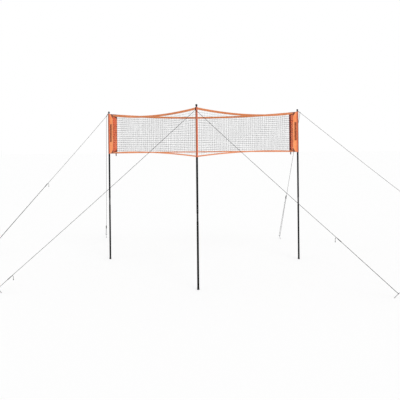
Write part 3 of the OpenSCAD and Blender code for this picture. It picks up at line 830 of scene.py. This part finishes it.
def knotted_net(name, models, seed):
    """Rows of twine and knots as one flat net, hung between its tapes with its knots a little off place."""
    n, cols, rows = NETS[name], COLUMNS[name], ROWS
    level, upright, knot = models
    net = repeated(level, name + "_net", cols, rows + 1)
    others = [repeated(upright, "uprights", cols + 1, rows), repeated(knot, "knots", cols + 1, rows + 1)]
    only(net)
    for piece in others:
        piece.select_set(True)
    bpy.ops.object.join()
    bpy.ops.object.mode_set(mode="EDIT")
    bpy.ops.mesh.select_all(action="SELECT")
    bpy.ops.mesh.fill_holes(sides=4)
    bpy.ops.object.mode_set(mode="OBJECT")

    p, d, across = net_frame(n.first, n.last)
    g = np.random.default_rng(seed)
    wave = waves(4, 3, seed, 2.4)
    shift = g.normal(0, 0.0010, (3, cols + 2, rows + 2))
    shift[:, 0], shift[:, cols:], shift[:, :, 0], shift[:, :, rows:] = 0, 0, 0, 0
    co = np.zeros(len(net.data.vertices) * 3)
    net.data.vertices.foreach_get("co", co)
    co = co.reshape(-1, 3)
    u, v = np.clip(co[:, 0] / PITCH, 0, cols), np.clip(co[:, 2] / PITCH, 0, rows)
    i, j = u.astype(int), v.astype(int)
    fu, fv = u - i, v - j
    off = (shift[:, i, j] * (1 - fu) * (1 - fv) + shift[:, i + 1, j] * fu * (1 - fv)
           + shift[:, i, j + 1] * (1 - fu) * fv + shift[:, i + 1, j + 1] * fu * fv)
    # the uprights are drawn together in some places and apart in others
    bunch = waves(3, 2, seed + 40, 1.0)
    x = n.start + (n.end - n.start) * co[:, 0] / (PITCH * cols)
    x += GATHER * np.sin(np.pi * u / cols) ** 0.5 * bunch(x * 14.0, v * 0.05)
    low = bottom_edge(x, n.length, n.hog) + BOTTOM_TAPE - TUCK
    high = top_edge(x, n.length) - TOP_TAPE + TUCK
    z = low + (high - low) * co[:, 2] / (PITCH * rows)
    belly = BELLY * np.sin(np.pi * v / rows) * np.sin(np.pi * u / cols) ** 0.5
    y = co[:, 1] + belly * wave(x * 2.2, z * 5.0) + off[1] * 0.6
    place = p[None] + (x + off[0])[:, None] * d[None] + y[:, None] * across[None]
    place[:, 2] = z + off[2]
    net.data.vertices.foreach_set("co", place.ravel())
    net.data.update()
    net.data.polygons.foreach_set("use_smooth", [True] * len(net.data.polygons))
    net.data.materials.append(LOOK["net_twine"])
    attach(net, n.body)
    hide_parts(name + "_mesh")


def nets():
    models = (twine_model("level_twine", (0, math.radians(90), 0), (PITCH, 0, 0)),
              twine_model("upright_twine", (0, 0, 0), (0, 0, PITCH)), knot_model())
    for seed, name in enumerate(NETS, 11):
        knotted_net(name, models, seed)
    remove(*models)


nets()


# ---------------- tapes
TAPE_CLOTH, TAPE_GAP = 0.0007, 0.0021
TAPE_THREAD = rgb(228, 186, 166)
LOOK["top_tape"] = sewn_cloth(
    "top_tape_cloth", rgb(218, 132, 80), rgb(196, 114, 66), rgb(146, 92, 62), TAPE_THREAD, 0.0011,
    (("v", 0.005), ("v", TOP_TAPE - 0.005), ("v", TOP_TAPE + 0.008), ("v", 2 * TOP_TAPE - 0.002)))
LOOK["bottom_tape"] = sewn_cloth(
    "bottom_tape_cloth", rgb(232, 152, 108), rgb(214, 132, 90), rgb(156, 104, 76), TAPE_THREAD, 0.0011,
    (("v", 0.004), ("v", BOTTOM_TAPE - 0.004), ("v", BOTTOM_TAPE + 0.007), ("v", 2 * BOTTOM_TAPE - 0.001)))


def folded_strip(height, cloth, gap):
    """Outline of a strip folded over: up one outer side, over and down, then back along the inside."""
    out, inn = gap / 2 + cloth, gap / 2
    down = [height, height * 0.66, height * 0.33]
    outline = [(-out, h) for h in down]
    outline += [(out * math.cos(a), out - out * math.sin(a)) for a in arc(range(180, -1, -30))]
    outline += [(out, h) for h in down[::-1]] + [(inn, h) for h in down]
    outline += [(inn * math.cos(a), out - inn * math.sin(a)) for a in arc(range(0, 181, 30))]
    return outline + [(-inn, h) for h in down[::-1]]


def tape_strip(name, net, outline, xs, edge_z, look, seed, ripple):
    """A folded strip carried along an edge of a net, with a slight ripple."""
    p, d, across = net_frame(net.first, net.last)
    wave = waves(3, 3, seed, 3.0)
    run = lengths_along(outline)
    n, still = len(outline), 0.08
    verts, uv, faces = [], [], ring_faces(len(xs), n)
    for x in xs:
        calm = max(0.0, min(1.0, (x - xs[0]) / still, (xs[-1] - x) / still)) * ripple
        lean, curl = calm * wave(x * 3.1, 0.3), calm * 0.5 * wave(x * 7.0, 5.0)
        for (t, h), s in zip(outline, run):
            q = p + d * x + across * (t + lean + curl * h / 0.04)
            verts.append((q[0], q[1], edge_z(x) - h))
            uv.append((x, s))
    for base, flip in ((0, False), ((len(xs) - 1) * n, True)):
        for k in range(n // 2 - 1):
            q = (base + k, base + n - 1 - k, base + n - 2 - k, base + k + 1)
            faces.append(q[::-1] if flip else q)
    strip = from_shape(name, verts, faces, look, net.body, uv, outward=True)
    return strip


def tapes(name, net, seed):
    length = net.end - net.start
    xs = np.linspace(net.start, net.end, int(length / 0.022) + 1)
    top = tape_strip(name + "_top_strip", net, folded_strip(TOP_TAPE, TAPE_CLOTH, TAPE_GAP), xs,
                     lambda x: top_edge(x, net.length), LOOK["top_tape"], seed, 0.0016)
    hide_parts(name + "_top_tape")
    turned = [(t, -h) for t, h in folded_strip(BOTTOM_TAPE, TAPE_CLOTH, TAPE_GAP)][::-1]
    low = tape_strip(name + "_bottom_strip", net, turned, xs,
                     lambda x: bottom_edge(x, net.length, net.hog), LOOK["bottom_tape"], seed + 5, 0.0022)
    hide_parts(name + "_bottom_tape")


for seed, (name, net) in enumerate(NETS.items(), 30):
    tapes(name, net, seed)


# ---------------- end panels, straps and sleeves
LOOK["front_panel"] = panel_cloth("panel_cloth_orange", rgb(252, 160, 104), rgb(240, 136, 80), patch=True)
# painted shade: the back panels get a pinker copy of the panel cloth, standing for the shade on their inner
# faces
LOOK["back_panel"] = panel_cloth("panel_cloth_shade_tinted", rgb(255, 154, 112), rgb(250, 134, 92))
# the right back panel's cloth, with a strip of painted shade along its inner edge
LOOK["bound_panel"] = panel_cloth(
    "panel_cloth_shade_tinted_shaded_edge", rgb(255, 164, 122), rgb(255, 144, 100), shaded_edge=True)
LOOK["strap"] = ribbed_webbing("strap_webbing", rgb(102, 20, 8), rgb(70, 12, 4))
LOOK["closure"] = closure_pile("closure_pile")
LOOK["sleeve"] = sewn_cloth(
    "sleeve_cloth", rgb(224, 116, 84), rgb(202, 100, 72), rgb(140, 84, 64), rgb(238, 190, 168), 0.0009,
    (("v", 0.014), ("v", NET_H - 0.014), ("u", 0.012)))


def two_skins(nx, nz):
    """Faces of two grids of corners, one after the other, and of the rim between them."""
    n, faces = nx * nz, []
    for i in range(nz - 1):
        for k in range(nx - 1):
            c = i * nx + k
            faces.append((c, c + 1, c + nx + 1, c + nx))
            faces.append((n + c, n + c + nx, n + c + nx + 1, n + c + 1))
    rim = list(range(nx)) + [i * nx + nx - 1 for i in range(1, nz)]
    rim += [(nz - 1) * nx + k for k in range(nx - 2, -1, -1)] + [i * nx for i in range(nz - 2, 0, -1)]
    return faces + [(v, u, n + u, n + v) for u, v in zip(rim, rim[1:] + rim[:1])]


# an end panel's pole, the pole its net goes to, their distance, its lower edge's rise, its seed and cloth
Panel = namedtuple("Panel", "pole other length hog seed cloth")
PANELS = {
    "left_front": Panel("left", "front", FRONT_L, FRONT_HOG, 3, "front_panel"),
    "right_front": Panel("right", "front", FRONT_L, FRONT_HOG, 5, "front_panel"),
    "left_back": Panel("left", "right", BACK_L, BACK_HOG, 4, "back_panel"),
    "right_back": Panel("right", "left", BACK_L, BACK_HOG, 6, "bound_panel"),
}
# the direction in which each sleeve's closing strip faces, in degrees
CLOSING = {"front": 238, "left": 232, "right": -46}


def end_panel(name, end):
    """Cloth between a sleeve and a net: hemmed all round, with slight pull folds towards its corners."""
    p, d, across = net_frame(end.pole, end.other)
    nx, nz = 26, 84
    thick, hem_thick, hem_w = 0.0008, 0.0006, 0.017
    wave = waves(5, 3, end.seed, 6.0)
    verts, uv = [], []
    width = PANEL_L - TAB
    for side in (1, -1):
        for s in np.linspace(0, 1, nz):
            for x in np.linspace(TAB - 0.002, PANEL_L, nx):
                lo, hi = bottom_edge(x, end.length, end.hog), top_edge(x, end.length)
                z = lo + (hi - lo) * s
                gx = (x - TAB) / width
                calm = math.sin(math.pi * min(1, max(0, gx))) ** 0.6 * math.sin(math.pi * s) ** 0.35
                folds = math.sin(9.0 * (gx + 3.0 * abs(s - 0.5)) + end.seed)
                folds *= math.exp(-6.0 * min(s, 1 - s))
                off = calm * (0.0030 * wave(gx * 1.1, s * 3.2) + 0.0016 * folds)
                near = min(x - TAB, PANEL_L - x, hi - z, z - lo)
                hem = hem_thick / (1.0 + math.exp((near - hem_w) * 2200))
                q = p + d * x + across * (off + side * (thick / 2 + hem))
                verts.append((q[0], q[1], z))
                uv.append((x - TAB, (hi - lo) * s))
    panel = from_shape(name + "_cloth", verts, two_skins(nx, nz), LOOK[end.cloth], UPPER[end.pole], uv,
                       outward=True)
    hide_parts(name + "_panel")
    return panel


def strap(name, body, points, width_way, width, thick):
    """A flat strap along a line, its width along one direction, with eased edges and closed ends."""
    p = even_points(points, 0.006)
    t = carried_normals(p)[0]
    run = lengths_along(p)
    half = [(-0.5, 0.25), (-0.5, -0.25), (-0.42, -0.5), (0.42, -0.5)]
    outline = half + [(-w, -h) for w, h in half]
    verts, uv = [], []
    for at, way, s in zip(p, t, run):
        side = unit(width_way - (width_way @ way) * way)
        face = np.cross(way, side)
        for w, h in outline:
            verts.append(at + side * w * width + face * h * thick)
            uv.append(((w + 0.5) * width, s))
    n = len(outline)
    faces = ring_faces(len(p), n)
    faces.append(tuple(range(n))[::-1])
    faces.append(tuple((len(p) - 1) * n + k for k in range(n)))
    piece = from_shape(name, verts, faces, LOOK["strap"], body, uv, outward=True)


def panel_straps(name, end):
    """Webbing sewn over a panel's inner corners: a slanting piece at the top, and at the bottom a level
    one, with another whose free tail hangs below the edge."""
    p, d, across = net_frame(end.pole, end.other)

    def at(x, z, off):
        return p + d * x + Z * z + across * off

    x = PANEL_L - TAIL_IN - TAIL_W / 2
    low, high = bottom_edge(x, end.length, end.hog), top_edge(x, end.length)
    body, lie = UPPER[end.pole], 0.0026
    slant_w, level_w, thick = 0.032, 0.026, 0.0012
    for side, off in (("near", lie), ("far", -lie)):
        slant = [at(0.034, high - 0.016, off), at(0.075, high - 0.022, off * 1.1),
                 at(PANEL_L - 0.012, high - 0.034, off)]
        strap(f"{name}_top_strap_{side}", body, slant, d * 0.2 + Z, slant_w, thick)
        level = [at(0.046, low + 0.017, off), at(0.076, low + 0.018, off * 1.1),
                 at(x - 0.012, low + 0.018, off)]
        strap(f"{name}_low_strap_{side}", body, level, Z, level_w, thick)
    tail = [at(x, low + 0.034, lie), at(x, low + 0.012, lie), at(x, low - 0.002, 0.0018),
            at(x + 0.001, low - 0.020, 0.0006), at(x + 0.002, low - STRAP_TAIL + 0.001, -0.0006)]
    strap(name + "_bottom_strap", body, tail, d, TAIL_W, thick + 0.0002)
    back = [at(x, low + 0.034, -lie), at(x, low + 0.002, -lie)]
    strap(name + "_bottom_strap_back", body, back, d, TAIL_W, thick)


def sleeve_reach(angle, ways, r):
    """How far a sleeve's cloth is from its pole's axis: round, or along the flat towards a net."""
    best, tip, leaves = r, 0.0012, math.radians(60)
    slope = (r * math.sin(leaves) - tip) / (TAB - r * math.cos(leaves))
    for way in ways:
        e = abs((angle - way + math.pi) % (2 * math.pi) - math.pi)
        if e < leaves:
            flat = (tip + slope * TAB) / (math.sin(e) + slope * math.cos(e))
            best = max(best, min(flat, TAB / math.cos(e)))
    return best


def sleeve_creases(wave, a, s):
    """The slight creases of a sleeve at an angle and a share of its height, none at its two hems."""
    return 0.00035 * wave(3 * math.cos(a) + 2 * math.sin(a), s * 9.0) * min(1, s * 12, (1 - s) * 12)


def pole_sleeve(pole, toward, closing, seed):
    """A cloth tube round a pole with a seam towards each net, and its closing strip down one side."""
    p = np.array([*POLE[pole], 0.0])
    ways = [math.atan2(POLE[q][1] - POLE[pole][1], POLE[q][0] - POLE[pole][0]) for q in toward]
    wave = waves(5, 3, seed, 5.0)
    nz, hem_share, hem_thick = 90, (0.03, 0.96), 0.0004
    inner, outer = TUBE_R + 0.0003, SLEEVE_R - 0.0002
    angles = set(np.linspace(-math.pi, math.pi, 48, endpoint=False).round(4))
    for way in ways:
        near = (way + math.radians(e) for e in (-9, -5, -3.5, 0, 3.5, 5, 9))
        angles |= {round((a + math.pi) % (2 * math.pi) - math.pi, 4) for a in near}
    angles = np.array(sorted(angles))
    n = len(angles)
    girth = 2 * math.pi * SLEEVE_R
    verts, uv = [], []
    for skin in (0, 1):
        for s in np.linspace(0, 1, nz):
            hem = hem_thick if (s < hem_share[0] or s > hem_share[1]) else 0.0
            for a in angles:
                r = inner if skin else sleeve_reach(a, ways, outer) + hem + sleeve_creases(wave, a, s)
                verts.append((p[0] + r * math.cos(a), p[1] + r * math.sin(a), TOP_Z - NET_H + NET_H * s))
                uv.append(((1 - abs(a) / math.pi) * girth / 2, s * NET_H))
    m = n * nz
    faces = ring_faces(nz, n)
    faces += [tuple(m + c for c in face[::-1]) for face in faces]
    for base, flip in ((0, True), ((nz - 1) * n, False)):
        for k in range(n):
            u, v = base + k, base + (k + 1) % n
            q = (u, v, m + v, m + u)
            faces.append(q[::-1] if flip else q)
    sleeve = from_shape(pole + "_sleeve_cloth", verts, faces, LOOK["sleeve"], UPPER[pole], uv, outward=True)
    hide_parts(pole + "_sleeve")
    closing_strip(pole, p, closing, wave)


def closing_strip(pole, p, middle, wave):
    """The flat strip that closes a sleeve, following its curve from hem to hem."""
    half, short, nz = 0.60, 0.012, 60
    under, over, eased = 0.0002, 0.0013, 0.0004
    arcs = np.linspace(-half, half, 9)
    verts, uv = [], []
    for skin in (0, 1):
        for s in np.linspace(short, 1 - short, nz):
            for e in arcs:
                a = math.radians(middle) + e
                lift = under if skin else over - eased * (abs(e) > half - 0.05)
                r = SLEEVE_R + lift + sleeve_creases(wave, a, s)
                verts.append((p[0] + r * math.cos(a), p[1] + r * math.sin(a), TOP_Z - NET_H + NET_H * s))
                uv.append((e * SLEEVE_R, s * NET_H))
    strip = from_shape(pole + "_closing_strip", verts, two_skins(len(arcs), nz), LOOK["closure"],
                       UPPER[pole], uv, outward=True)


def cloths():
    panels = {name: end_panel(name, end) for name, end in PANELS.items()}
    for name in ("left_back", "right_back"):
        panel_straps(name, PANELS[name])
    for seed, pole in enumerate(POLE, 51):
        pole_sleeve(pole, [other for other in POLE if other != pole], CLOSING[pole], seed)


cloths()


# ---------------- floor and light
def floor():
    ground = start(bpy.ops.mesh.primitive_grid_add, x_subdivisions=2, y_subdivisions=2, size=120)
    done(ground, "floor")
    f = Finish("floor_paper", 0.9, specular=0.1)
    f.set("Base Color", (0.92, 0.92, 0.92, 1.0))
    light = f.node("ShaderNodeLightPath", out="Is Camera Ray")
    glow = f.node("ShaderNodeEmission", inputs={"Color": (1.0, 1.0, 1.0, 1.0), "Strength": 1.0})
    lit = Reading(f, f.shader.outputs[0])
    both = f.node("ShaderNodeMixShader", inputs={0: light * 0.55, 1: lit, 2: glow})
    f.tree.links.new(both.socket, f.tree.nodes["Material Output"].inputs["Surface"])
    ground.data.materials.append(f.material)


def sky(strength):
    world = bpy.data.worlds.new("studio")
    world.use_nodes = True
    bpy.context.scene.world = world
    n = Nodes(world.node_tree)
    seen = n.node("ShaderNodeLightPath", out="Is Camera Ray")
    for kind in ("Is Glossy Ray", "Is Transmission Ray"):
        seen = seen.most(n.node("ShaderNodeLightPath", out=kind))
    backdrop = world.node_tree.nodes["Background"]
    n.give(backdrop.inputs["Color"], (1.0, 1.0, 1.0, 1.0))
    n.give(backdrop.inputs["Strength"], seen * (1.0 - strength) + strength)


def lamp(name, energy, spread, turn):
    data = bpy.data.lights.new(name, "SUN")
    data.energy, data.angle = energy, math.radians(spread)
    sun = bpy.data.objects.new(name, data)
    sun.rotation_euler = arc(turn)
    bpy.context.scene.collection.objects.link(sun)


floor()
sky(0.82)
lamp("key", 0.9, 25, (48, 0, 30))
lamp("fill", 0.3, 40, (60, 0, -50))
bpy.context.scene.view_settings.view_transform = "Standard"
